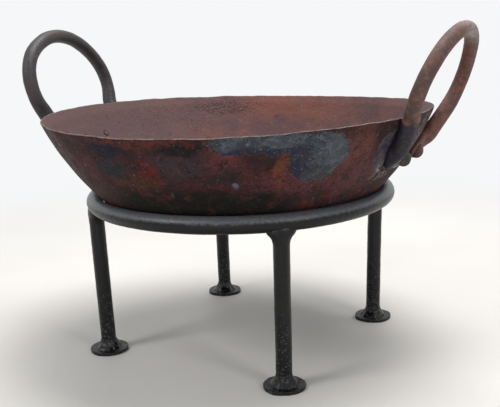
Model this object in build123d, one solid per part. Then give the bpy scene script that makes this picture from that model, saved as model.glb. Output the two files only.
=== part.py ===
from build123d import *
import math
import os

# Kadai fire pit: a beaten iron bowl with two riveted loop handles, resting in a welded ring stand.
# Millimetres and degrees. +Z is up and the two handles lie along X. The model is drawn round the
# ring's axis, then moved so that its origin is on the floor under the middle of its overall size.

# Bowl
rim_radius = 180
rim_height = 219
sheet = 2.5
wall_radius = 240
knuckle_radius = 50
dish_radius = 600
knuckle_below_seat = 6
seat_gap = 0.3

# Ring
ring_radius = 137.5
ring_height = 142.5
ring_bar = 15
seam_azimuth = 83
seam_gap = 3
seam_lap = 1.5
seam_crown = 0.15

# Legs and feet: the stand was put together by eye, so its legs are not quite square
leg_bar = 14
leg_azimuths = {"front_right": -50.5, "back_right": 39, "back_left": 126, "front_left": 219.5}
foot_circle_radius = 134
foot_radius = 18
foot_thickness = 3
leg_trim = 3
leg_weld_height = 7
leg_weld_along = 5
leg_weld_across = 1.5
weld_toe = 0.6
foot_weld_leg = 4

# Handles: one shape of loop, each bent by hand to its own lean and cant
handle_bar = 12.5
loop_half_width = 63.5
loop_side_radius = 41
loop_rise = 25.5
loop_shoulder = 45
loop_end_rise = 8
root_drop = 25
root_side = 46
tail_drop = 42
tail_side = 40
tail_width = 8
tail_thickness = 5
paddle_thickness = 4
rivet_eye = 8
leg_contact_gap = 0.2

# Rivets
rivet_shank = 6
rivet_fit = 0.1
rivet_head = 12
rivet_head_height = 5
rivet_tail = 8
rivet_tail_height = 1.8

right_handle = {
    "turn": 0, "stand_off": 0.5, "lean": 23.4, "cant": -10.9, "yaw": -2.8,
    "rivet_side": 21, "rivet_drop": 38,
}
left_handle = {
    "turn": 180, "stand_off": 3.1, "lean": 12.7, "cant": 10.1, "yaw": 1.5,
    "rivet_side": 17, "rivet_drop": 31,
}
handles = {"right": right_handle, "left": left_handle}


def normal(slope):
    """Outward normal, as (radius, height), of a wall that rises outwards at this slope."""
    return Vector(math.sin(math.radians(slope)), -math.cos(math.radians(slope)))


def slope_of(direction):
    return math.degrees(math.asin(direction.X))


# Bowl outline: the wall arc runs through the rim and rests on the ring, a tighter knuckle takes it
# round to the base, and the base is a shallow dish. Points are (radius, height).
rim_point = Vector(rim_radius, rim_height)
ring_centre = Vector(ring_radius, ring_height)
rim_from_ring = rim_point - ring_centre
seat_reach = wall_radius + ring_bar / 2 + seat_gap
along = (seat_reach**2 - wall_radius**2 + rim_from_ring.length**2) / (2 * rim_from_ring.length)
aside = math.sqrt(seat_reach**2 - along**2)
chord = rim_from_ring.normalized()
wall_centre = ring_centre + chord * along + Vector(-chord.Y, chord.X) * aside

rim_slope = slope_of((rim_point - wall_centre).normalized())
seat_slope = slope_of((ring_centre - wall_centre).normalized())
knuckle_slope = seat_slope - math.degrees(knuckle_below_seat / wall_radius)
knuckle_centre = wall_centre + normal(knuckle_slope) * (wall_radius - knuckle_radius)
dish_slope = math.degrees(math.asin(knuckle_centre.X / (dish_radius - knuckle_radius)))
dish_centre = knuckle_centre - normal(dish_slope) * (dish_radius - knuckle_radius)


def outline(offset):
    """The bowl's outline from the rim down to the axis, moved outwards by offset."""
    bends = [
        (wall_centre, wall_radius, rim_slope, knuckle_slope),
        (knuckle_centre, knuckle_radius, knuckle_slope, dish_slope),
        (dish_centre, dish_radius, dish_slope, 0),
    ]
    arcs = []
    for centre, radius, start, end in bends:
        points = [centre + normal(a) * (radius + offset) for a in (start, (start + end) / 2, end)]
        arcs.append(ThreePointArc(*points))
    return arcs


def revolved(edges):
    """Turn a closed outline drawn as (radius, height) round the Z axis."""
    return revolve(Plane.XZ * make_face(Curve() + edges), Axis.Z)


def layer(inner, outer):
    """The wall's thickness between two offsets from its outer face, turned round the axis."""
    inside = outline(inner)
    outside = outline(outer)
    edges = outside + inside + [
        Line(outside[0] @ 0, inside[0] @ 0),
        Line(outside[-1] @ 1, inside[-1] @ 1),
    ]
    return revolved(edges)


def make_bowl():
    bowl = layer(-sheet, 0)
    for place in rivet_places():
        bowl -= place * Cylinder(rivet_shank / 2 + rivet_fit, 4 * sheet)
    return bowl


def wall_plane(side, drop):
    """Plane on the wall's outer face, side mm along the rim from the handle's middle and drop mm
    below the rim along the wall: X runs round the bowl, Y up the wall and Z outwards."""
    slope = rim_slope - math.degrees(drop / wall_radius)
    point = wall_centre + normal(slope) * wall_radius
    azimuth = math.asin(side / point.X)
    round_bowl = Vector(-math.sin(azimuth), math.cos(azimuth), 0)
    out = normal(slope)
    outward = Vector(out.X * math.cos(azimuth), out.X * math.sin(azimuth), out.Y)
    origin = Vector(point.X * math.cos(azimuth), point.X * math.sin(azimuth), point.Y)
    return Plane(origin=origin, x_dir=round_bowl, z_dir=outward)


def rivet_planes(shape):
    """A handle's two rivet places before it is turned, in order of rising Y."""
    return [wall_plane(side * shape["rivet_side"], shape["rivet_drop"]) for side in (-1, 1)]


def rivet_places():
    places = []
    for shape in handles.values():
        for plane in rivet_planes(shape):
            places.append(Rot(0, 0, shape["turn"]) * plane.location)
    return places


def loop_frame(shape):
    """Place of a handle's loop: X runs along the rim and Y up the leaning loop."""
    upright = Plane(origin=(0, 0, 0), x_dir=(0, 1, 0), z_dir=(1, 0, 0)).location
    foot = Pos(rim_radius + shape["stand_off"], 0, rim_height)
    bend = Rot(0, 0, shape["yaw"]) * Rot(0, shape["lean"], 0)
    return foot * bend * upright * Pos(0, loop_rise, 0) * Rot(0, 0, shape["cant"])


def turn_in(cant, side_centre):
    """Angle below the side arc's widest point at which the loop comes down to its end height."""
    centre_rise = loop_rise + side_centre * math.sin(math.radians(cant))
    return cant + math.degrees(math.asin((centre_rise - loop_end_rise) / loop_side_radius))


def leg_edge(side, loop_end, loop_heading):
    """The bar from its root on the wall up to the end of the loop, which it meets in line."""
    plane = wall_plane(side * root_side, root_drop)
    seat = handle_bar / 2 + leg_contact_gap
    root = plane.from_local_coords((0, 0, seat))
    tail = wall_plane(side * tail_side, tail_drop).from_local_coords((0, 0, seat))
    heading = (root - tail).normalized()
    pull = (loop_end - root).length / 3
    return Bezier(root, root + heading * pull, loop_end - loop_heading * pull, loop_end)


def make_handle(shape, bowl_space):
    frame = loop_frame(shape)
    side_centre = loop_half_width - loop_side_radius
    crown_radius = loop_side_radius + side_centre / math.sin(math.radians(loop_shoulder))
    crown_centre = -side_centre / math.tan(math.radians(loop_shoulder))
    first_turn = turn_in(shape["cant"], side_centre)
    last_turn = turn_in(-shape["cant"], side_centre)
    first = frame * CenterArc(
        (side_centre, 0), loop_side_radius, -first_turn, first_turn + 90 - loop_shoulder
    )
    crown = frame * CenterArc((0, crown_centre), crown_radius, 90 - loop_shoulder, 2 * loop_shoulder)
    last = frame * CenterArc(
        (-side_centre, 0), loop_side_radius, 90 + loop_shoulder, last_turn + 90 - loop_shoulder
    )
    legs = [leg_edge(1, first @ 0, first % 0), leg_edge(-1, last @ 1, (last % 1) * -1)]
    path = Wire([legs[0], first, crown, last, legs[1]])
    section = Plane(origin=path @ 0, z_dir=path % 0) * Circle(handle_bar / 2)
    handle = sweep(section, path=path)

    plate = layer(0, paddle_thickness)
    for side, leg in zip((1, -1), legs):
        handle += make_tail(side, leg)
        handle += make_paddle(side, shape, plate)
    handle -= bowl_space
    for plane in rivet_planes(shape):
        handle -= plane.location * Cylinder(rivet_shank / 2 + rivet_fit, 6 * paddle_thickness)
    return handle


def make_tail(side, leg):
    """The bar's end, drawn down to a flat point that lies on the wall."""
    root = Plane(origin=leg @ 0, z_dir=leg % 0)
    tip_plane = wall_plane(side * tail_side, tail_drop)
    tip = tip_plane.from_local_coords((0, 0, tail_thickness / 2))
    heading = (leg @ 0 - tip).normalized()
    end = Plane(origin=tip, x_dir=heading.cross(tip_plane.z_dir), z_dir=heading)
    return loft([end * Ellipse(tail_width / 2, tail_thickness / 2), root * Circle(handle_bar / 2)])


def make_paddle(side, shape, plate):
    """The hammered-out flat beside the bar's end that takes the rivet."""
    middle = wall_plane(side * (root_side + shape["rivet_side"]) / 2, shape["rivet_drop"])
    spots = [
        (root_side, root_drop + handle_bar / 4, handle_bar / 2),
        (tail_side, tail_drop, tail_width / 2),
        (shape["rivet_side"], shape["rivet_drop"], rivet_eye),
    ]
    rounds = []
    for across, drop, radius in spots:
        spot = middle.to_local_coords(wall_plane(side * across, drop).origin)
        rounds += (Pos(spot.X, spot.Y) * Circle(radius)).edges()
    blank = extrude(make_hull(rounds), 3 * paddle_thickness, both=True)
    return (middle.location * blank) & plate


def make_rivet():
    """A domed head outside, a shank through paddle and sheet, and a small head inside. Both heads
    are flat below, and stand clear of the curved faces by less than the fit."""
    head_radius = rivet_head / 2
    dome_radius = (head_radius**2 + rivet_head_height**2) / (2 * rivet_head_height)
    dome = Pos(0, 0, paddle_thickness + rivet_head_height - dome_radius) * Sphere(dome_radius)
    dome &= Pos(0, 0, paddle_thickness) * Cylinder(
        head_radius, rivet_head_height, align=(Align.CENTER, Align.CENTER, Align.MIN)
    )
    inner_face = -sheet - rivet_fit
    shank = Pos(0, 0, inner_face) * Cylinder(
        rivet_shank / 2, paddle_thickness - inner_face,
        align=(Align.CENTER, Align.CENTER, Align.MIN)
    )
    tail = Pos(0, 0, inner_face) * Cone(
        rivet_shank / 2, rivet_tail / 2, rivet_tail_height,
        align=(Align.CENTER, Align.CENTER, Align.MAX)
    )
    return dome + shank + tail


def ring_arc(radius, start, turn):
    """A round bar of this radius bent to the ring's circle."""
    disc = Plane.XZ * Pos(ring_radius, ring_height) * Circle(radius)
    return Rot(0, 0, start) * revolve(disc, Axis.Z, turn)


def make_ring():
    open_angle = math.degrees(seam_gap / ring_radius)
    return ring_arc(ring_bar / 2, seam_azimuth + open_angle / 2, 360 - open_angle)


def make_seam_weld(ring):
    """The weld that fills the gap between the bent bar's two ends and stands slightly proud."""
    turn = math.degrees((seam_gap + 2 * seam_lap) / ring_radius)
    return ring_arc(ring_bar / 2 + seam_crown, seam_azimuth - turn / 2, turn) - ring


def leg_plane(azimuth):
    """Plane at a leg's foot with Z along the leg, X outwards and Y round the ring."""
    foot = Vector(foot_circle_radius, 0, foot_thickness)
    top = Vector(ring_radius, 0, ring_height)
    out = Plane(origin=foot, x_dir=(1, 0, 0), z_dir=top - foot)
    return Rot(0, 0, azimuth) * out.location, (top - foot).length


def make_leg(azimuth, ring_space):
    """A bar that stands on its foot disc and is notched to the round underside of the ring."""
    place, length = leg_plane(azimuth)
    upper = length - leg_trim
    bar = place * Pos(0, 0, -foot_thickness) * Cylinder(
        leg_bar / 2, upper + foot_thickness, align=(Align.CENTER, Align.CENTER, Align.MIN)
    )
    floor = Pos(0, 0, foot_thickness) * Box(
        4 * ring_radius, 4 * ring_radius, 4 * foot_thickness,
        align=(Align.CENTER, Align.CENTER, Align.MAX)
    )
    return bar - floor - ring_space


def make_ring_weld(azimuth, leg, ring_space):
    """The bead round the top of a leg, spreading along the ring more than across it."""
    place, length = leg_plane(azimuth)
    top = length - ring_bar / 2 + leg_weld_across
    low = Pos(0, 0, top - leg_weld_height) * Circle(leg_bar / 2 + weld_toe)
    high = Pos(0, 0, top) * Ellipse(leg_bar / 2 + leg_weld_across, leg_bar / 2 + leg_weld_along)
    return place * loft([low, high]) - leg - ring_space


def foot_centre(azimuth):
    return Rot(0, 0, azimuth) * Pos(foot_circle_radius, 0, 0)


def make_foot(azimuth):
    flat = (Align.CENTER, Align.CENTER, Align.MIN)
    return foot_centre(azimuth) * Cylinder(foot_radius, foot_thickness, align=flat)


def make_foot_weld(azimuth, leg):
    bead = Cone(
        leg_bar / 2 + foot_weld_leg, leg_bar / 2 + weld_toe, foot_weld_leg,
        align=(Align.CENTER, Align.CENTER, Align.MIN)
    )
    return foot_centre(azimuth) * Pos(0, 0, foot_thickness) * bead - leg


def build():
    nodes = {"bowl": make_bowl()}

    inside = outline(0)
    lid = Line((rim_radius, rim_height), (0, rim_height))
    axis_line = Line((0, rim_height), inside[-1] @ 1)
    bowl_space = revolved(inside + [lid, axis_line])
    for name, shape in handles.items():
        handle = make_handle(shape, bowl_space)
        turned = Rot(0, 0, shape["turn"]) * handle
        nodes["handle_" + name] = turned
        for plane in rivet_planes(shape):
            place = Rot(0, 0, shape["turn"]) * plane.location
            end = "front" if place.position.Y < 0 else "back"
            nodes["rivet_" + name + "_" + end] = place * make_rivet()

    nodes["stand_ring"] = make_ring()
    nodes["ring_seam_weld"] = make_seam_weld(nodes["stand_ring"])
    ring_space = ring_arc(ring_bar / 2, 0, 360)
    for name, azimuth in leg_azimuths.items():
        leg = make_leg(azimuth, ring_space)
        nodes["leg_" + name] = leg
        nodes["foot_" + name] = make_foot(azimuth)
        nodes["ring_weld_" + name] = make_ring_weld(azimuth, leg, ring_space)
        nodes["foot_weld_" + name] = make_foot_weld(azimuth, leg)

    middle = Compound(list(nodes.values())).bounding_box().center()
    return {name: Pos(-middle.X, -middle.Y, 0) * shape for name, shape in nodes.items()}


os.makedirs("parts", exist_ok=True)
for node, shape in build().items():
    export_step(shape, "parts/" + node + ".step")
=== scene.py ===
import math

import bmesh
import bpy
from mathutils import Matrix, Vector, noise


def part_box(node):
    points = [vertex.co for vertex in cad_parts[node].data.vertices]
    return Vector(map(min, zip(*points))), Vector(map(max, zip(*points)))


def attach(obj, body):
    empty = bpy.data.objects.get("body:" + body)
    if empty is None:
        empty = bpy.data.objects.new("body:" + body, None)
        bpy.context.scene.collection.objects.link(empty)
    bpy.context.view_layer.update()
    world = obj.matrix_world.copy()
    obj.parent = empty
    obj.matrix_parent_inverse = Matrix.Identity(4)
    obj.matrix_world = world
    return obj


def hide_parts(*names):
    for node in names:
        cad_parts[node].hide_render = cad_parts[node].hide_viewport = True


# Kadai fire pit: the look of the beaten bowl, its riveted handles and its welded stand.
# Lengths are metres unless a name or a comment says millimetres.

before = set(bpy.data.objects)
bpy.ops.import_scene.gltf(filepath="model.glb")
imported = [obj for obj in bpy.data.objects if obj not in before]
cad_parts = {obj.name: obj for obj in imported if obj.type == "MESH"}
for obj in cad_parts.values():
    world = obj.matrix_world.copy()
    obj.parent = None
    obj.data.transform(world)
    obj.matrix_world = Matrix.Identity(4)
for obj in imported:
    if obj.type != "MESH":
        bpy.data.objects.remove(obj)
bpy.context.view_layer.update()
MM = 0.001


def middle_of(node):
    low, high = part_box(node)
    return (low + high) / 2


# The bowl's and the ring's shared axis meets the floor here; places below are measured from it
axis_foot = middle_of("stand_ring") * Vector((1, 1, 0))

# Camera: metres from the foot of the axis, then degrees; the lens is in millimetres
camera_place = (0.3446, -0.6942, 0.2963)
camera_turn = 25.77
camera_drop = 12.096
camera_roll = -2.075
lens = 59.5

# Bowl outline, in millimetres, as in the CAD
rim_radius = 180
rim_height = 219
sheet = 2.5
wall_radius = 240
knuckle_radius = 50
dish_radius = 600
knuckle_below_seat = 6
seat_gap = 0.3
ring_radius = 137.5
ring_height = 142.5
ring_bar = 15

# Hand work on the bowl: millimetres, degrees for a turn, and shares of one
rim_rise = 2.25
rim_rise_turn = -2.5
rim_rise_depth = 45
rim_wave = 0.9
rim_wave_length = 26
ripple_share = 0.35
ripples_in_wave = 3.1
dent_depth = 0.55
dent_size = 17
dent_steepness = 1.4
dent_share = 0.7
swell_size = 60
swell_share = 0.3
lip_sheet = 1.05
lip_depth = 9
seat_calm = 16
seat_press = 0.2

# Rows of the bowl's mesh: points round it, the rows' spacing and reach down the wall in
# millimetres, and the number of rows from there to the axis
bowl_around = 600
wall_row = 1.6
wall_rows_reach = 95
dish_rows = 42

# The rim's rounded lip: millimetres down from the rim, and shares of the lip's sheet inwards
lip_curve = ((-0.3, 0.8), (-0.4, 0.5), (-0.3, 0.2))

# The order in which the bowl and the rivets are given their finishes
outer_face, inner_face, rim_edge = range(3)
rivet_head, rivet_end_shadow_rim, rivet_end_face = range(3)

# Hand work on the bars, discs and rivets: millimetres, shares of one and rounds of smoothing
pit_size_share = 0.22
pit_depth_share = 0.35
pit_shift = Vector((7, 3, 5))
melt_height = 238
melt_fade = 18
melt_rounds = 90
disc_wave = 1.1
disc_wave_length = 11
disc_ripple_share = 0.4
disc_ripple_length = 4
disc_top_wave = 0.25
disc_top_wave_length = 5
disc_middle_height = 1.5
rivet_fullness = 1.2
rivet_lumps = 0.9
rivet_lump_size = 5
rivet_end_flattening = 0.6
rivet_face_radius = 2.4


# Finishes


def colour(code):
    """A colour written as six hex digits of a picture, as the shader's own values."""
    parts = [int(code[i:i + 2], 16) / 255 for i in (0, 2, 4)]
    linear = [p / 12.92 if p <= 0.04045 else ((p + 0.055) / 1.055) ** 2.4 for p in parts]
    return (*linear, 1)


class Value:
    """A shader value, so that masks and heights read as sums."""

    def __init__(self, finish, socket):
        self.finish = finish
        self.socket = socket

    def maths(self, operation, first, second):
        return self.finish.node("Math", {"operation": operation}, {0: first, 1: second})

    def __add__(self, other):
        return self.maths("ADD", self, other)

    def __sub__(self, other):
        return self.maths("SUBTRACT", self, other)

    def __rsub__(self, other):
        return self.maths("SUBTRACT", other, self)

    def __mul__(self, other):
        return self.maths("MULTIPLY", self, other)

    __radd__ = __add__
    __rmul__ = __mul__

    def most(self, other):
        return self.maths("MAXIMUM", self, other)

    def step(self, low, high):
        """0 at low and 1 at high, with a smooth change between; low may be the larger."""
        return self.finish.node(
            "MapRange", {"interpolation_type": "SMOOTHSTEP"},
            {"Value": self, "From Min": low, "From Max": high},
        )

    def vector(self, operation, other):
        return self.finish.node("VectorMath", {"operation": operation}, {0: self, 1: other})

    def length(self):
        return self.finish.node("VectorMath", {"operation": "LENGTH"}, {0: self}, "Value")


class Finish:
    """The nodes of one material, or of the world."""

    def __init__(self, tree):
        self.tree = tree
        tree.nodes.clear()
        self.place = None

    def node(self, kind, settings, inputs, output=0):
        """Add a node: its settings first, then a value or a link for each socket named."""
        made = self.tree.nodes.new("ShaderNode" + kind)
        for name, setting in settings.items():
            setattr(made, name, setting)
        for name, value in inputs.items():
            if isinstance(value, Value):
                self.tree.links.new(value.socket, made.inputs[name])
            else:
                made.inputs[name].default_value = value
        return Value(self, made.outputs[output])

    def surface_place(self):
        """Where a point lies on the piece, in metres from the foot of the bowl's axis."""
        if self.place is None:
            on_piece = self.node("TexCoord", {}, {}, "Object")
            self.place = on_piece.vector("SUBTRACT", tuple(axis_foot))
        return self.place

    def noise(self, size, detail=4, rough=0.55, place=None, output=0):
        """Cloudy noise whose patches are about this many millimetres across."""
        return self.node("TexNoise", {}, {
            "Vector": place or self.surface_place(),
            "Scale": 1 / (size * MM), "Detail": detail, "Roughness": rough,
        }, output)

    def pits(self, size, place=None):
        """Distance to the nearest of many scattered points, this many millimetres apart."""
        return self.node("TexVoronoi", {}, {
            "Vector": place or self.surface_place(), "Scale": 1 / (size * MM),
        })

    def stretched(self, x, y, z):
        return self.surface_place().vector("MULTIPLY", (x, y, z))

    def part(self, axis, place=None):
        return self.node("SeparateXYZ", {}, {0: place or self.surface_place()}, axis)

    def millimetres(self, axis):
        return self.part(axis) * (1 / MM)

    def mix(self, factor, first, second):
        """Blend two colours, each a value or six hex digits."""
        first, second = (colour(c) if isinstance(c, str) else c for c in (first, second))
        return self.node("Mix", {"data_type": "RGBA"}, {0: factor, 6: first, 7: second}, 2)

    def skin(self, base, roughness, height, depth, **settings):
        """Close the material: base colour, roughness and a bump this many millimetres deep."""
        bump = self.node("Bump", {}, {"Height": height, "Strength": 1, "Distance": depth * MM})
        values = {"Base Color": base, "Roughness": roughness, "Normal": bump}
        values.update({name.replace("_", " "): value for name, value in settings.items()})
        shader = self.node("BsdfPrincipled", {}, values)
        self.close(shader)

    def close(self, shader, kind="OutputMaterial"):
        """Link a shader to the output of the material or the world."""
        made = self.tree.nodes.new("ShaderNode" + kind)
        self.tree.links.new(shader.socket, made.inputs["Surface"])


def new_finish(name):
    material = bpy.data.materials.new(name)
    material.use_nodes = True
    return material, Finish(material.node_tree)


# Where the bowl's own marks lie: degrees round it, height, and half its size along the rim and
# up the wall, all in millimetres but the first
slate_long = (-57.5, 211.5, 38, 9)
slate_deep = (-42.5, 198, 25, 19)
slate_by_handle = (-18.5, 196, 14, 19)
orange_streak = (-53, 190, 4.5, 13)
# A band darker low on the outer wall, where it turns under towards the ring
low_dark_band = (-78, 157, 92, 17)
lavender_chip = (-64.6, 176.3, 3.2, 1.3)
navy_below_long = (-57, 205, 36, 4)
navy_beside_deep = (-49, 192, 14, 15)
crust_patch = (-13, 177, 17, 9)
crust_by_leg = (-6, 200, 6, 20)
crust_at_end = (2, 203, 12, 16)
streaks_left = (-128, 196, 26, 24)
far_red = (96, 206, 50, 15)
pebbled = (120, 207, 36, 10)

# Plainer stains: the same four figures, then the tint
stains = (
    (-112, 190, 18, 11, "4e2a2f"),
    (-101, 190, 15, 9, "262c33"),
    (-90, 212, 36, 4, "62302b"),
    (-100, 207, 18, 5, "1b1d2d"),
    (-89, 190, 10, 11, "5c211e"),
    (-96, 180, 26, 5, "50301f"),
    (-79, 194, 20, 11, "40343a"),
    (-79, 208, 22, 4, "1f181c"),
    (-68, 199, 15, 9, "613634"),
    (-68, 181, 15, 7, "272826"),
    (-73, 172, 24, 7, "532529"),
    (-47, 176, 44, 11, "5a3234"),
    (-30, 196, 14, 24, "6b403a"),
    (-28, 176, 26, 12, "5d3737"),
    (20, 188, 30, 20, "262024"),
    (48, 196, 44, 15, "512a28"),
    (70, 205, 30, 9, "3d434b"),
    (110, 184, 50, 13, "28282a"),
    (140, 200, 40, 14, "5a3430"),
    (176, 190, 30, 20, "2a2a31"),
    (-150, 200, 26, 14, "56302e"),
)

# Noise that makes the marks' edges ragged: its size and how far it moves them, in millimetres
mark_raggedness = ((16, 14), (4, 4))

# The wall's mean radius in millimetres, and the azimuths in degrees from which the outer and
# the inner face's marks are laid out
wall_mean_radius = 168
near_side = -62
far_side = 104

# How far the outer face is darkened all over, from 0 to 1
outer_darkening = 0.27

# Warmer spots on the handles, in metres from the foot of the axis
right_ember = (0.203, -0.041, 0.216)
left_warm_bend = (-0.197, -0.035, 0.262)

# Heights in millimetres at which a finish begins and is complete
pale_crown = (278, 292)
right_dark_foot = (236, 228)
right_flap = (204, 198)
left_dark_foot = (246, 230)
# Pits with painted glints low on the stand, full near the floor and gone further up
pit_and_glint_heights = (80, 25)
# The painted sheen on the ring's top begins and is complete this far above the ring's middle
sheen_above_ring = (3, 6)


def wall_place(finish, facing):
    """A flat place on the wall, raggedly warped: millimetres round the bowl from the azimuth
    faced, and millimetres up it. It has its seam on the opposite side."""
    turned = finish.node("VectorRotate", {"rotation_type": "Z_AXIS"}, {
        "Vector": finish.surface_place(), "Angle": math.radians(-facing),
    })
    angle = turned.maths("ARCTAN2", finish.part("Y", turned), finish.part("X", turned))
    around = angle * wall_mean_radius
    height = finish.millimetres("Z")
    flat = finish.node("CombineXYZ", {}, {"X": around, "Y": height})
    for size, reach in mark_raggedness:
        shift = finish.noise(size, output="Color").vector("SUBTRACT", (0.5, 0.5, 0.5))
        flat = flat.vector("ADD", shift.vector("MULTIPLY", (reach, reach, 0)))
    return flat


def mark(flat, spot, soft=0.12, facing=near_side):
    """1 inside one mark on the wall and 0 outside it."""
    azimuth, height, half_round, half_up = spot
    middle = (math.radians(azimuth - facing) * wall_mean_radius, height, 0)
    away = flat.vector("SUBTRACT", middle).vector("DIVIDE", (half_round, half_up, 1))
    return away.length().step(1 + soft, 1 - soft)


def outer_iron():
    material, finish = new_finish("bowl_outer_patina")
    flat = wall_place(finish, near_side)
    broad = finish.noise(34, 5, 0.6)
    blotch = finish.noise(12, 6, 0.7)
    small = finish.noise(5, 6, 0.75)
    fine = finish.noise(1.7, 4, 0.7)
    crisp = finish.noise(8.5, 8, 0.8)

    base = finish.mix(broad.step(0.42, 0.58), "35201f", "40292d")
    base = finish.mix(blotch.step(0.52, 0.6), base, "532824")
    ragged = (blotch + small).step(0.78, 0.98)
    for *spot, tint in stains:
        base = finish.mix(mark(flat, spot, 0.5) * ragged, base, tint)
    streak = mark(flat, orange_streak, 0.5) * small.step(0.3, 0.5)
    base = finish.mix(streak * 0.9, base, "74422f")
    base = finish.mix(crisp.step(0.53, 0.585) * 0.75, base, "1e1a1b")
    base = finish.mix(small.step(0.56, 0.64) * 0.7, base, "1a1618")
    ember = finish.noise(6.5, 7, 0.75).step(0.575, 0.62)
    base = finish.mix(ember * 0.6, base, "713a2d")
    scratch = finish.noise(3.2, 6, 0.75).step(0.59, 0.66)
    base = finish.mix(scratch * 0.6, base, "7d6f77")
    base = finish.mix(outer_darkening, base, "100b0e")
    # Darker low on the outer wall, just above the ring, with grey-green specks
    low_dark = mark(flat, low_dark_band, 0.2) * (1 - blotch.step(0.54, 0.62) * 0.75)
    base = finish.mix(low_dark * 0.95, base, "131310")
    base = finish.mix(low_dark * small.step(0.52, 0.64) * 0.6, base, "2d2e28")
    drip = finish.noise(3.5, 4, 0.6, finish.stretched(1, 1, 0.12)).step(0.45, 0.62)
    base = finish.mix(mark(flat, streaks_left, 0.5) * drip * 0.55, base, "6d6768")

    slate = mark(flat, slate_long, 0.05).most(mark(flat, slate_deep, 0.06))
    beside = mark(flat, slate_by_handle, 0.1)
    edge = mark(flat, slate_long, 0.25).most(mark(flat, slate_deep, 0.2)) - slate
    blue = finish.mix(finish.noise(14, 5).step(0.44, 0.56), "444a50", "34383f")
    blue = finish.mix(small.step(0.5, 0.64) * 0.75, blue, "5d6369")
    navy = mark(flat, navy_below_long, 0.3).most(mark(flat, navy_beside_deep, 0.4))
    blue = finish.mix(navy * small.step(0.3, 0.45), blue, "242537")
    blue = finish.mix(crisp.step(0.5, 0.56) * 0.45, blue, "3b3a3a")
    blue = finish.mix(fine.step(0.58, 0.66) * 0.5, blue, "7c8085")
    base = finish.mix(slate, base, blue)
    lilac = finish.mix(blotch.step(0.45, 0.55), "4b494c", "332f42")
    base = finish.mix(beside * 0.85, base, lilac)
    base = finish.mix(edge * fine.step(0.48, 0.58) * 0.55, base, "85888b")
    grey = mark(flat, crust_patch, 0.5).most(mark(flat, crust_by_leg, 0.35))
    grey = grey.most(mark(flat, crust_at_end, 0.4) * 0.6)
    crust = grey * finish.noise(4, 6, 0.75).step(0.46, 0.56)
    base = finish.mix(crust * 0.85, base, "96908e")
    chip = mark(flat, lavender_chip, 0.3) * small.step(0.3, 0.45)
    base = finish.mix(chip * 0.85, base, "5f5d76")
    pitted = finish.pits(3.2).step(0.22, 0.12) * finish.noise(22).step(0.44, 0.56)
    base = finish.mix(pitted * 0.8, base, "0f0d11")

    roughness = 0.6 + fine * 0.25 - slate * 0.12
    height = fine * 0.4 + small * 0.7 + slate * 0.2 + crust * 0.5 - pitted * 0.5
    finish.skin(base, roughness, height, 1.5, Specular_IOR_Level=0.13)
    return material


def inner_iron():
    material, finish = new_finish("bowl_inner_rust")
    flat = wall_place(finish, far_side)
    broad = finish.noise(45, 5, 0.55)
    small = finish.noise(6, 5, 0.7)
    fine = finish.noise(1.6, 4, 0.65)
    base = finish.mix(broad.step(0.38, 0.62), "564040", "644642")
    glow = mark(flat, far_red, 0.6, far_side)
    base = finish.mix(glow * broad.step(0.35, 0.55) * 0.6, base, "73453a")
    for side in (-1, 1):
        end = (finish.part("X") * (side / MM)).step(70, 175)
        base = finish.mix(end * 0.6, base, "645352")
    base = finish.mix(small.step(0.56, 0.7) * 0.35, base, "7d5a52")
    base = finish.mix(finish.noise(3, 3, 0.6).step(0.65, 0.72) * 0.3, base, "927267")
    dark = finish.noise(5, 5, 0.75).step(0.58, 0.7)
    base = finish.mix(dark * 0.4, base, "362626")
    pebbles = mark(flat, pebbled, 0.5, far_side) * finish.pits(2.6)
    base = finish.mix(pebbles.step(0.35, 0.7) * 0.5, base, "3c2e2d")
    height = fine * 0.5 + small * 0.5 + broad * 0.4 - dark * 0.2 - pebbles * 0.6
    finish.skin(base, 0.62 + fine * 0.2, height, 1.3, Specular_IOR_Level=0.15)
    return material


def edge_iron():
    material, finish = new_finish("bowl_rim_edge")
    # Painted light on the rim's edge: a painted highlight, pale along the near edge where it
    # faces the lamps, and painted shade, dark towards the far edge
    far = finish.millimetres("Y").step(-20, 50)
    painted_sheen = finish.mix(finish.noise(7, 5, 0.7).step(0.35, 0.65), "4d3e3b", "7f736c")
    base = finish.mix(far, painted_sheen, "2b201f")
    finish.skin(base, 0.5 + finish.noise(3) * 0.2, finish.noise(2), 0.3, Specular_IOR_Level=0.3)
    return material


def near(finish, middle, reach):
    """1 near a place measured from the foot of the bowl's axis, and 0 beyond a ragged reach in
    millimetres."""
    away = finish.surface_place().vector("SUBTRACT", middle)
    far = away.length() * (1 / MM)
    return (far + finish.noise(8) * reach).step(reach * 1.7, reach * 1.2)


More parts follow.
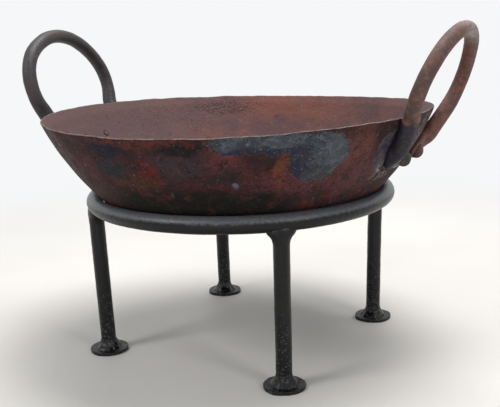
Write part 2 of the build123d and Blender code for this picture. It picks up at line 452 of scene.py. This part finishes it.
def right_handle_iron():
    material, finish = new_finish("handle_right_rust")
    height_mm = finish.millimetres("Z")
    depth_mm = finish.millimetres("Y")
    broad = finish.noise(16, 5, 0.6)
    small = finish.noise(4, 5, 0.7)
    fine = finish.noise(1.5, 4, 0.7)
    base = finish.mix(broad.step(0.4, 0.62), "4a3835", "604139")
    base = finish.mix(small.step(0.5, 0.66) * 0.6, base, "74564d")
    far_leg = depth_mm.step(-5, 30)
    base = finish.mix(far_leg * small.step(0.42, 0.6) * 0.8, base, "71443a")
    base = finish.mix(far_leg * fine.step(0.56, 0.68) * 0.6, base, "402a27")
    top = (height_mm + broad * 12).step(*pale_crown) * depth_mm.step(-34, -4)
    base = finish.mix(top * fine.step(0.38, 0.6) * 0.75, base, "aaa5a1")
    low = (height_mm + broad * 26).step(*right_dark_foot) * depth_mm.step(8, -20)
    scale = finish.mix(small.step(0.45, 0.6), "12131f", "25222c")
    base = finish.mix(low * 0.94, base, scale)
    ember = near(finish, right_ember, 9)
    base = finish.mix(ember * small.step(0.35, 0.5) * 0.85, base, "6b3a2c")
    across_flap = (depth_mm + small * 8).step(-36, -31) * depth_mm.step(4, -6)
    flap = across_flap * height_mm.step(*right_flap)
    pale = finish.mix(small.step(0.42, 0.56), "8f8b89", "2a2626")
    base = finish.mix(flap, base, pale)
    base = finish.mix(fine.step(0.66, 0.74) * 0.5, base, "8d7870")
    finish.skin(base, 0.5 + fine * 0.25, fine * 0.4 + small * 0.5, 1, Specular_IOR_Level=0.35)
    return material


def left_handle_iron():
    material, finish = new_finish("handle_left_dark_iron")
    height_mm = finish.millimetres("Z")
    broad = finish.noise(20, 5, 0.6)
    small = finish.noise(4, 5, 0.7)
    fine = finish.noise(1.5, 4, 0.65)
    base = finish.mix(broad.step(0.4, 0.62), "2e2a2c", "3b302f")
    warm = near(finish, left_warm_bend, 22)
    base = finish.mix(warm * 0.85, base, "58423e")
    low = (height_mm + broad * 16).step(*left_dark_foot)
    base = finish.mix(low * 0.85, base, "12131d")
    base = finish.mix(small.step(0.55, 0.68) * 0.45, base, "4b4547")
    base = finish.mix(fine.step(0.64, 0.74) * 0.4, base, "77706f")
    finish.skin(base, 0.36 + fine * 0.25, fine * 0.3 + small * 0.5, 0.7, Specular_IOR_Level=0.35)
    return material


def rivet_iron(name, dark, light):
    material, finish = new_finish(name)
    fine = finish.noise(2.2, 5, 0.65)
    base = finish.mix(finish.noise(6, 4).step(0.4, 0.6), dark, light)
    base = finish.mix(fine.step(0.56, 0.66) * 0.7, base, "8a5b40")
    finish.skin(base, 0.4 + fine * 0.3, fine, 0.8, Specular_IOR_Level=0.4)
    return material


# Painted shadow: a dark ring round a rivet's flattened end inside the bowl
def rivet_shadow_ring_finish():
    material, finish = new_finish("rivet_end_shadow_ring")
    base = finish.mix(finish.noise(2, 4).step(0.4, 0.6), "1d1315", "33211f")
    finish.skin(base, 0.7, finish.noise(2), 0.3, Specular_IOR_Level=0.2)
    return material


def stand_black(name, gloss, pit_size, depth):
    material, finish = new_finish(name)
    fine = finish.noise(pit_size, 4, 0.7)
    small = finish.noise(pit_size * 2.6, 5, 0.65)
    height_mm = finish.millimetres("Z")
    low = height_mm.step(*pit_and_glint_heights)
    base = finish.mix(small.step(0.48, 0.68), "030304", "0d0e12")
    # Painted sheen: a pale grey band along the top of the ring, standing in for the overhead
    # light's reflection
    painted_sheen = (height_mm + small * 4).step(*(ring_height + above for above in sheen_above_ring))
    sheen_grey = finish.mix(fine.step(0.4, 0.6), "4b4e52", "63666b")
    base = finish.mix(painted_sheen * 0.9, base, sheen_grey)
    # Pits low on the legs and feet: real pitting in the bump, with a pale painted glint in the
    # colour
    pits_and_glints = finish.pits(2.1).step(0.42, 0.2) * small.step(0.4, 0.6)
    base = finish.mix(pits_and_glints * low * 0.55, base, "74767c")
    height = fine * 0.3 + small * 0.6 - pits_and_glints * low * 0.8
    finish.skin(base, gloss + small * 0.22, height, depth, Specular_IOR_Level=0.27)
    return material


# Shapes


def on_circle(centre, radius, slope):
    return Vector((centre.x + radius * math.sin(slope), centre.y - radius * math.cos(slope)))


def bowl_bends():
    """The outline's three arcs, from the rim to the axis: centre, radius, first and last slope.
    Points are (radius, height) in millimetres, and a slope is the wall's rise in radians."""
    rim = Vector((rim_radius, rim_height))
    seat = Vector((ring_radius, ring_height))
    reach = wall_radius + ring_bar / 2 + seat_gap
    chord = rim - seat
    along = (reach**2 - wall_radius**2 + chord.length**2) / (2 * chord.length)
    aside = math.sqrt(reach**2 - along**2)
    line = chord.normalized()
    wall = seat + line * along + Vector((-line.y, line.x)) * aside
    rim_slope = math.asin((rim.x - wall.x) / wall_radius)
    seat_slope = math.asin((seat.x - wall.x) / reach)
    knuckle_slope = seat_slope - knuckle_below_seat / wall_radius
    knuckle = on_circle(wall, wall_radius - knuckle_radius, knuckle_slope)
    dish_slope = math.asin(knuckle.x / (dish_radius - knuckle_radius))
    dish = on_circle(knuckle, knuckle_radius - dish_radius, dish_slope)
    return [
        (wall, wall_radius, rim_slope, knuckle_slope),
        (knuckle, knuckle_radius, knuckle_slope, dish_slope),
        (dish, dish_radius, dish_slope, 0),
    ]


def wall_point(bends, drop, offset):
    """(radius, height) this far down from the rim along the outer face, moved out by offset."""
    for centre, radius, first, last in bends:
        length = (first - last) * radius
        if drop <= length or last == 0:
            return on_circle(centre, radius + offset, max(first - drop / radius, 0))
        drop -= length


def dent(place, drop, seat_drop):
    """How far the hammer has pushed the sheet in at a place, in millimetres. The sheet is left
    true where it rests on the ring."""
    distance = noise.voronoi(place / (dent_size * MM))[0][0]
    hollow = max(0, 1 - distance * dent_steepness)
    swell = noise.noise(place / (swell_size * MM)) * 0.5 + 0.5
    calm = min(1, abs(drop - seat_drop) / seat_calm) ** 2
    pushed = dent_depth * (hollow * dent_share + swell * swell_share)
    return calm * pushed - (1 - calm) * seat_press


def sheet_at(drop):
    """The sheet's thickness, drawn down thin towards the rim."""
    return lip_sheet + (sheet - lip_sheet) * min(1, max(drop, 0) / lip_depth)


def rim_lift(azimuth, drop):
    """How far the rim's hand-set waviness moves the sheet up, in millimetres."""
    hold = max(0, 1 - drop / rim_rise_depth) ** 2
    slow = rim_rise * math.cos(2 * azimuth - math.radians(rim_rise_turn))
    turn = Vector((math.cos(azimuth), math.sin(azimuth), 0)) * rim_radius / rim_wave_length
    ripple = ripple_share * rim_wave * noise.noise(turn * ripples_in_wave)
    quick = rim_wave * noise.noise(turn) + ripple
    return hold * (slow + quick)


def on_axis(radius, azimuth, height):
    """A place round the bowl's axis, given in millimetres and radians."""
    return Vector((radius * math.cos(azimuth), radius * math.sin(azimuth), height)) * MM


def bowl_rows(whole):
    """The rows of the bowl's skin in order: drop and offset in millimetres, and which of its
    finishes the row has."""
    fine = [wall_row * i for i in range(int(wall_rows_reach / wall_row))]
    start = fine[-1]
    coarse = [start + (whole - start) * i / dish_rows for i in range(1, dish_rows + 1)]
    drops = fine + coarse
    outer = [(drop, 0, outer_face) for drop in drops]
    inner = [(drop, -sheet_at(drop), inner_face) for drop in reversed(drops)]
    lip = [(drop, -share * lip_sheet, rim_edge) for drop, share in lip_curve]
    return outer + inner + lip


def bowl_loop(bends, drop, offset, seat_drop):
    """The places round one row of the bowl's skin, with the hand work on it."""
    flat = wall_point(bends, max(drop, 0), 0) * MM
    places = []
    for i in range(bowl_around):
        azimuth = 2 * math.pi * i / bowl_around
        spot = Vector((flat.x * math.cos(azimuth), flat.x * math.sin(azimuth), flat.y))
        point = wall_point(bends, drop, offset - dent(spot, drop, seat_drop))
        height = point.y + rim_lift(azimuth, max(drop, 0))
        places.append(axis_foot + on_axis(point.x, azimuth, height))
    return places


def join_loops(mesh, lower, upper, finish_index=0):
    """Faces between two loops of points, one of which may be a single point."""
    around = max(len(lower), len(upper))
    for i in range(around):
        j = (i + 1) % around
        if len(lower) == 1:
            corners = (lower[0], upper[j], upper[i])
        elif len(upper) == 1:
            corners = (lower[i], lower[j], upper[0])
        else:
            corners = (lower[i], lower[j], upper[j], upper[i])
        mesh.faces.new(corners).material_index = finish_index


def finished_mesh(name, mesh):
    data = bpy.data.meshes.new(name)
    mesh.to_mesh(data)
    mesh.free()
    data.shade_smooth()
    return data


def make_bowl_mesh():
    """The sheet as one closed skin: down the outer face, up the inner one and over the rim."""
    bends = bowl_bends()
    lengths = [(first - last) * radius for _, radius, first, last in bends]
    whole = sum(lengths)
    seat_drop = lengths[0] - knuckle_below_seat
    mesh = bmesh.new()
    rows = []
    for drop, offset, finish_index in bowl_rows(whole):
        if drop == whole:
            places = [axis_foot + Vector((0, 0, wall_point(bends, drop, offset).y * MM))]
        else:
            places = bowl_loop(bends, drop, offset, seat_drop)
        rows.append(([mesh.verts.new(place) for place in places], finish_index))
    for (loop, first), (following, second) in zip(rows, rows[1:] + rows[:1]):
        if len(loop) > 1 or len(following) > 1:
            join_loops(mesh, loop, following, max(first, second))
    bmesh.ops.recalc_face_normals(mesh, faces=mesh.faces)
    return finished_mesh("bowl_skin", mesh)


def new_piece(name, data):
    piece = bpy.data.objects.new(name, data)
    bpy.context.scene.collection.objects.link(piece)
    return piece


def soften(piece, rounds, group=""):
    """Smooth a piece's mesh, by how far each point belongs to a group where one is named."""
    smooth = piece.modifiers.new("soften", "SMOOTH")
    smooth.factor = 0.5
    smooth.iterations = rounds
    smooth.vertex_group = group


def settle(piece):
    """Turn a piece's modifiers into its own mesh."""
    graph = bpy.context.evaluated_depsgraph_get()
    skin = bpy.data.meshes.new_from_object(piece.evaluated_get(graph))
    piece.modifiers.clear()
    piece.data = skin


def skin_of(node, fineness, move, melt=None):
    """A new piece with a CAD node's shape and edges softened as by a hammer, each point of its
    skin moved by move(place, outward). fineness is the mesh size in millimetres and the rounds
    of softening. melt(place) is how much further, from 0 to 1, its bends are run together."""
    grain, rounds = fineness
    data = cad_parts[node].data.copy()
    data.materials.clear()
    piece = new_piece(node + "_skin", data)
    remesh = piece.modifiers.new("grain", "REMESH")
    remesh.mode = "VOXEL"
    remesh.voxel_size = grain * MM
    soften(piece, rounds)
    settle(piece)
    if melt:
        melted = piece.vertex_groups.new(name="melt")
        for vertex in piece.data.vertices:
            melted.add([vertex.index], melt(vertex.co - axis_foot), "REPLACE")
        soften(piece, melt_rounds, melted.name)
        settle(piece)
    skin = piece.data
    moved = [v.co + move(v.co - axis_foot, v.normal.copy()) * MM for v in skin.vertices]
    for vertex, place in zip(skin.vertices, moved):
        vertex.co = place
    skin.update()
    skin.shade_smooth()
    return piece


def foot_of_handle(place):
    """1 at a handle's feet on the wall and 0 up on the loop."""
    return min(1, max(0, (melt_height - place.z / MM) / melt_fade))


def rough_bar(size, depth, fuller=0, refill=0):
    """A move for a worn bar: a slow swelling and small pits, in millimetres. The bar is made
    fuller all over, and refilled by more where its foot was run together."""
    def move(place, outward):
        slow = noise.noise(place / (size * MM))
        quick = noise.noise(place / (pit_size_share * size * MM) + pit_shift)
        extra = fuller + (refill * foot_of_handle(place) if refill else 0)
        return outward * (depth * slow + pit_depth_share * depth * quick + extra)
    return move


def rough_disc(place, outward):
    """A hand-cut disc: its edge wanders, and its underside stays on the floor."""
    flat = Vector((outward.x, outward.y, 0))
    wave = noise.noise(place / (disc_wave_length * MM))
    ripple = disc_ripple_share * noise.noise(place / (disc_ripple_length * MM))
    shift = flat * disc_wave * (wave + ripple)
    if place.z > disc_middle_height * MM:
        shift.z += disc_top_wave * noise.noise(place / (disc_top_wave_length * MM))
    return shift


wall_centre, wall_reach = bowl_bends()[0][:2]


def out_of_wall(place):
    """How far outside the bowl's outer face a place is, in millimetres, and the way outwards."""
    radius = math.hypot(place.x, place.y)
    way = Vector((radius / MM, place.z / MM)) - wall_centre
    out = way.length - wall_reach
    way.normalize()
    return out, Vector((way.x * place.x / radius, way.x * place.y / radius, way.y))


def rivet_lump(place, outward):
    """A rivet hammered over: an uneven head outside, and inside the bowl an end beaten nearly
    flat."""
    out, way = out_of_wall(place)
    if out < -sheet:
        return way * rivet_end_flattening * (-sheet - out)
    lump = rivet_lumps * noise.noise(place / (rivet_lump_size * MM))
    return outward * (rivet_fullness + lump)


def paint_rivet_end(piece):
    """Give a rivet's head one finish, and its end inside the bowl a dark rim of painted shadow
    and a rusty face.
    """
    total = sum((vertex.co for vertex in piece.data.vertices), Vector())
    middle = total / len(piece.data.vertices)
    _, axis = out_of_wall(middle - axis_foot)
    for face in piece.data.polygons:
        out, _ = out_of_wall(face.center - axis_foot)
        face.material_index = rivet_head
        if out < -sheet / 2:
            away = face.center - middle
            aside = (away - axis * away.dot(axis)).length / MM
            on_face = aside < rivet_face_radius
            face.material_index = rivet_end_face if on_face else rivet_end_shadow_rim


# Welds at a leg's two ends, in millimetres: height, half-width across the ring and half-width
# along it. The upper one is measured from the ring's middle, the lower one from the floor.
ring_fillet = (
    (-20, 6.8, 6.8), (-17.5, 7.1, 7.15), (-15.5, 7.15, 7.5), (-13.5, 7.2, 8.2), (-12, 7.3, 9.2),
    (-10.5, 7.45, 10.6), (-9, 7.5, 12), (-7, 7.45, 13), (-4.5, 7, 12.8), (-2, 6.2, 11.6),
)
foot_bead = (
    (1.2, 12.6, 12.6), (2.6, 12.4, 12.4), (3.6, 11.7, 11.7), (4.8, 10.7, 10.7), (6.2, 9.6, 9.6),
    (7.8, 8.5, 8.5), (9.6, 7.7, 7.7), (11.6, 7.2, 7.2), (13.5, 6.8, 6.8),
)

# Points round a weld, its lumps' size, half of the leg's bar, and how far out from the bar the
# lumps come in full
weld_around = 72
weld_lump_size = 5
leg_half = 7
weld_fade = 1.5


def make_collar(name, place, sections, lump):
    """A weld round a leg: oval sections stacked up the leg's own axis, with uneven lumps where
    it stands out from the bar. lump is their height in millimetres."""
    mesh = bmesh.new()
    loops = []
    for height, across, along in sections:
        fullness = min(1, max(0, (across - leg_half) / weld_fade))
        loop = []
        for i in range(weld_around):
            turn = 2 * math.pi * i / weld_around
            point = place @ Vector((
                across * MM * math.cos(turn), along * MM * math.sin(turn), height * MM,
            ))
            push = lump * fullness * noise.noise(point / (weld_lump_size * MM))
            out = (place.to_3x3() @ Vector((math.cos(turn), math.sin(turn), 0))) * MM
            loop.append(mesh.verts.new(point + out * push))
        loops.append(loop)
    for lower, upper in zip(loops, loops[1:]):
        join_loops(mesh, lower, upper)
    mesh.faces.new(list(reversed(loops[0])))
    mesh.faces.new(loops[-1])
    piece = new_piece(name, finished_mesh(name, mesh))
    piece.modifiers.new("round", "SUBSURF").levels = 2
    settle(piece)
    return piece


def leg_places(corner):
    """Where a leg's axis meets the floor and the ring's middle: Z runs up the leg, X outwards
    and Y along the ring."""
    foot = middle_of("foot_" + corner)
    azimuth = math.atan2(foot.y - axis_foot.y, foot.x - axis_foot.x)
    foot.z = 0
    top = axis_foot + on_axis(ring_radius, azimuth, ring_height)
    up = (top - foot).normalized()
    along = Vector((-math.sin(azimuth), math.cos(azimuth), 0))
    out = along.cross(up)
    turn = Matrix((out, along, up)).transposed().to_4x4()
    return Matrix.Translation(foot) @ turn, Matrix.Translation(top) @ turn


# Pieces

# Mesh size in millimetres and rounds of softening, for each kind of piece
handle_fineness = (0.9, 5)
rivet_fineness = (0.4, 3)
ring_fineness = (1.1, 4)
seam_fineness = (0.5, 3)
leg_fineness = (0.9, 4)
foot_fineness = (0.6, 2)


def dress(piece, body, node, slot, *materials):
    for material in materials:
        piece.data.materials.append(material)
    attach(piece, body)
    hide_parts(node)


rusty_inside = inner_iron()
bowl = new_piece("bowl_skin", make_bowl_mesh())
dress(bowl, "bowl", "bowl", "beaten_iron", outer_iron(), rusty_inside, edge_iron())

handle_looks = {"right": (right_handle_iron(), 0), "left": (left_handle_iron(), 0.4)}
rust_rivet = rivet_iron("rivet_brown_iron", "2c1d1a", "4a3328")
dark_rivet = rivet_iron("rivet_dark_iron", "151416", "2a2526")
rivet_shadow_ring = rivet_shadow_ring_finish()
for side, (finish, fuller) in handle_looks.items():
    move = rough_bar(18, 0.28, fuller, refill=1.2)
    handle = skin_of("handle_" + side, handle_fineness, move, foot_of_handle)
    dress(handle, "bowl", "handle_" + side, "handle_iron", finish)
    for end, rivet_finish in (("front", dark_rivet), ("back", rust_rivet)):
        node = "rivet_" + side + "_" + end
        rivet = skin_of(node, rivet_fineness, rivet_lump)
        paint_rivet_end(rivet)
        dress(rivet, "bowl", node, "rivet_iron", rivet_finish, rivet_shadow_ring, rusty_inside)

bar_finish = stand_black("stand_black_bar", gloss=0.2, pit_size=1.3, depth=0.55)
weld_finish = stand_black("stand_black_weld", gloss=0.2, pit_size=1.9, depth=0.3)
foot_finish = stand_black("stand_black_foot", gloss=0.32, pit_size=1.5, depth=0.5)
ring = skin_of("stand_ring", ring_fineness, rough_bar(30, 0.16))
dress(ring, "stand", "stand_ring", "stand_black", bar_finish)
seam = skin_of("ring_seam_weld", seam_fineness, rough_bar(4, 0.15))
dress(seam, "stand", "ring_seam_weld", "weld_black", weld_finish)
for corner in ("front_right", "back_right", "back_left", "front_left"):
    leg = skin_of("leg_" + corner, leg_fineness, rough_bar(14, 0.18))
    dress(leg, "stand", "leg_" + corner, "stand_black", bar_finish)
    foot = skin_of("foot_" + corner, foot_fineness, rough_disc)
    dress(foot, "stand", "foot_" + corner, "foot_black", foot_finish)
    at_floor, at_ring = leg_places(corner)
    welds = (("ring_weld_", at_ring, ring_fillet, 0.7), ("foot_weld_", at_floor, foot_bead, 1.6))
    for kind, place, sections, lump in welds:
        weld = make_collar(kind + corner + "_skin", place, sections, lump)
        dress(weld, "stand", kind + corner, "weld_black", weld_finish)


# Stage, camera and light

# The floor's half-width, how far out it begins and ends its fade into the backdrop, and how
# strongly the sky lights the object
backdrop = colour("f6f7f8")
floor_half = 6
floor_fade = (0.32, 0.95)
sky_light = 0.42
object_middle = (0, 0, 0.18)

# Each lamp's name, place, aim, width and height in metres, and watts
lamps = (
    ("window", (-0.9, -1.3, 1.5), object_middle, (0.55, 0.6), 13),
    ("overhead", (0.1, 0.3, 1.6), object_middle, (1.0, 0.8), 28),
    ("fill", (1.5, -0.7, 0.9), object_middle, (0.4, 0.7), 7),
    ("low", (0.35, -1.5, 0.28), (0, 0, 0.12), (0.3, 0.3), 2),
)


def seen_rays(finish):
    """1 for what the camera sees itself or in a reflection or through glass."""
    kinds = [finish.node("LightPath", {}, {}, "Is " + kind + " Ray")
             for kind in ("Camera", "Glossy", "Transmission")]
    return kinds[0].most(kinds[1]).most(kinds[2])


def make_stage():
    """A wide pale floor that fades into the backdrop away from the object."""
    mesh = bmesh.new()
    corners = ((-1, -1), (1, -1), (1, 1), (-1, 1))
    mesh.faces.new([mesh.verts.new((x * floor_half, y * floor_half, 0)) for x, y in corners])
    floor = new_piece("floor", finished_mesh("floor", mesh))
    material, finish = new_finish("pale_floor")
    tone = finish.mix(finish.noise(300, 3).step(0.3, 0.7), "d2cfca", "d8d5d0")
    cloth = finish.node("BsdfPrincipled", {}, {"Base Color": tone, "Roughness": 0.6})
    glow = finish.node("Emission", {}, {"Color": backdrop, "Strength": 1})
    distance = finish.surface_place().length()
    fade = distance.step(*floor_fade) * seen_rays(finish)
    finish.close(finish.node("MixShader", {}, {0: fade, 1: cloth, 2: glow}))
    floor.data.materials.append(material)


def add_lamp(name, place, aim, size, power):
    lamp = bpy.data.lights.new(name, "AREA")
    lamp.shape = "RECTANGLE"
    lamp.size, lamp.size_y = size
    lamp.energy = power
    holder = new_piece(name, lamp)
    holder.location = place
    holder.rotation_euler = (Vector(aim) - Vector(place)).to_track_quat("-Z", "Y").to_euler()


def make_light():
    world = bpy.data.worlds.new("studio")
    bpy.context.scene.world = world
    world.use_nodes = True
    finish = Finish(world.node_tree)
    strength = sky_light + seen_rays(finish) * (1 - sky_light)
    sky = finish.node("Background", {}, {"Color": backdrop, "Strength": strength})
    finish.close(sky, "OutputWorld")
    for lamp in lamps:
        add_lamp(*lamp)


def make_camera():
    data = bpy.data.cameras.new("camera")
    data.lens = lens
    camera = new_piece("camera", data)
    camera.matrix_world = (
        Matrix.Translation(axis_foot + Vector(camera_place))
        @ Matrix.Rotation(math.radians(camera_turn), 4, "Z")
        @ Matrix.Rotation(math.radians(90 - camera_drop), 4, "X")
        @ Matrix.Rotation(math.radians(camera_roll), 4, "Z")
    )
    bpy.context.scene.camera = camera


make_stage()
make_light()
make_camera()
bpy.context.scene.view_settings.view_transform = "Standard"
